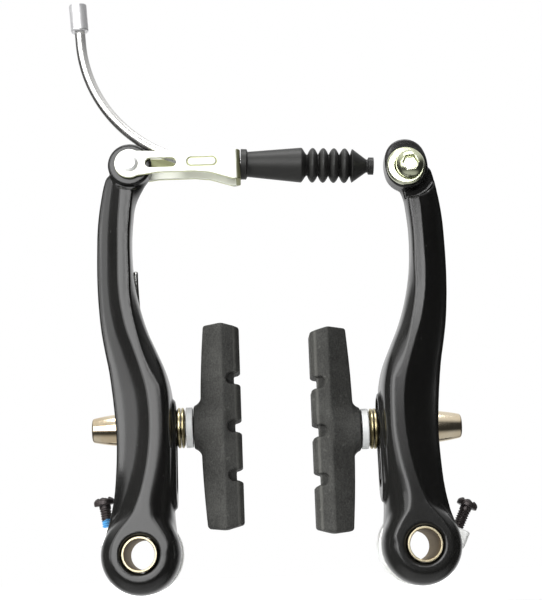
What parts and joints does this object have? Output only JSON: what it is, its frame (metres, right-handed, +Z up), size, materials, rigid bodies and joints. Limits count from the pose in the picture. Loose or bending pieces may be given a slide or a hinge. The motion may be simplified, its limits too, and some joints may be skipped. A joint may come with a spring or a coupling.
{
  "type": "linear-pull rim brake",
  "caption": "Linear-pull bicycle rim brake: forged arms on bushings, slotted rubber pads on posts, pinned link with bent cable guide tube and rubber boot, return springs and cable clamp",
  "frame": {"origin": "midpoint between the two pivot axes, on the plane of the frame's boss shoulders", "axes": "+X to the right seen from the front, +Y back towards the frame, +Z up; the front faces -Y"},
  "size_m": [0.1116, 0.0326, 0.1673],
  "materials": {
    "arm_black": "black satin-gloss coating over forged aluminium",
    "brass": "machined",
    "zinc": "bright zinc plate",
    "steel": "polished steel",
    "yellow_zinc": "yellow zinc plate",
    "champagne": "champagne gold plate",
    "spacer_grey": "matt",
    "pad_rubber": "matt moulded",
    "boot_rubber": "satin moulded",
    "black_oxide": "black oxide steel",
    "liner_white": "low-friction plastic"
  },
  "bodies": {
    "frame_side": {"left_bushing": "brass", "left_spring_holder": "zinc", "left_boss_pin": "steel", "left_spring": "steel", "right_bushing": "brass", "right_spring_holder": "zinc", "right_boss_pin": "steel", "right_spring": "steel"},
    "left_arm_body": {"left_arm": "arm_black", "left_spring_stop": "steel"},
    "left_screw_body": {"left_tension_screw": "black_oxide"},
    "left_carrier": {"left_inner_dome_washer": "yellow_zinc", "left_inner_cup_washer": "yellow_zinc", "left_outer_cup_washer": "yellow_zinc", "left_outer_dome_washer": "yellow_zinc"},
    "left_pad_body": {"left_pad": "pad_rubber", "left_pad_post": "steel", "left_pad_spacer": "spacer_grey", "left_pad_nut": "champagne"},
    "right_arm_body": {"right_arm": "arm_black", "right_spring_stop": "steel"},
    "right_screw_body": {"right_tension_screw": "black_oxide"},
    "right_carrier": {"right_inner_dome_washer": "yellow_zinc", "right_inner_cup_washer": "yellow_zinc", "right_outer_cup_washer": "yellow_zinc", "right_outer_dome_washer": "yellow_zinc"},
    "right_pad_body": {"right_pad": "pad_rubber", "right_pad_post": "steel", "right_pad_spacer": "spacer_grey", "right_pad_nut": "champagne"},
    "link_body": {"noodle_link": "zinc", "link_pin": "zinc"},
    "noodle_body": {"noodle_tube": "steel", "noodle_liner": "liner_white", "noodle_ferrule": "steel", "noodle_tip": "steel", "noodle_boot": "boot_rubber"},
    "clamp_body": {"cable_washer": "yellow_zinc", "cable_bolt": "yellow_zinc"}
  },
  "joints": [
    {"name": "left_arm_pivot", "type": "hinge", "parent": "frame_side", "child": "left_arm_body", "pos_m": [-0.038, 0, 0], "axis": [0, -1, 0], "range_deg": [0, 25], "deforming": ["left_spring"]},
    {"name": "left_pad_slide", "type": "slide", "parent": "left_arm_body", "child": "left_carrier", "axis": [0, 0, 1], "range_m": [-0.0147, 0.0031]},
    {"name": "left_pad_swivel", "type": "hinge", "parent": "left_carrier", "child": "left_pad_body", "pos_m": [-0.028, -0.013, 0.0343], "axis": [1, 0, 0], "range_deg": [-15, 15]},
    {"name": "left_tension_screw_feed", "type": "slide", "parent": "frame_side", "child": "left_screw_body", "axis": [0.1478, 0, -0.989], "range_m": [0, 0.0024]},
    {"name": "right_arm_pivot", "type": "hinge", "parent": "frame_side", "child": "right_arm_body", "pos_m": [0.038, 0, 0], "axis": [0, 1, 0], "range_deg": [0, 25], "deforming": ["right_spring"]},
    {"name": "right_pad_slide", "type": "slide", "parent": "right_arm_body", "child": "right_carrier", "axis": [0, 0, 1], "range_m": [-0.0127, 0.0051]},
    {"name": "right_pad_swivel", "type": "hinge", "parent": "right_carrier", "child": "right_pad_body", "pos_m": [0.028, -0.013, 0.0323], "axis": [1, 0, 0], "range_deg": [-15, 15]},
    {"name": "right_tension_screw_feed", "type": "slide", "parent": "frame_side", "child": "right_screw_body", "axis": [-0.4384, 0, -0.8988], "range_m": [0, 0.0024]},
    {"name": "link_swing", "type": "hinge", "parent": "left_arm_body", "child": "link_body", "pos_m": [-0.0389, -0.0204, 0.1075], "axis": [0, -1, 0], "range_deg": [-15, 45]},
    {"name": "noodle_swivel", "type": "hinge", "parent": "link_body", "child": "noodle_body", "pos_m": [-0.0089, -0.0204, 0.1075], "axis": [1, 0, 0], "range_deg": [-20, 20]},
    {"name": "cable_clamp_release", "type": "slide", "parent": "right_arm_body", "child": "clamp_body", "axis": [0, -1, 0], "range_m": [0, 0.003]}
  ]
}
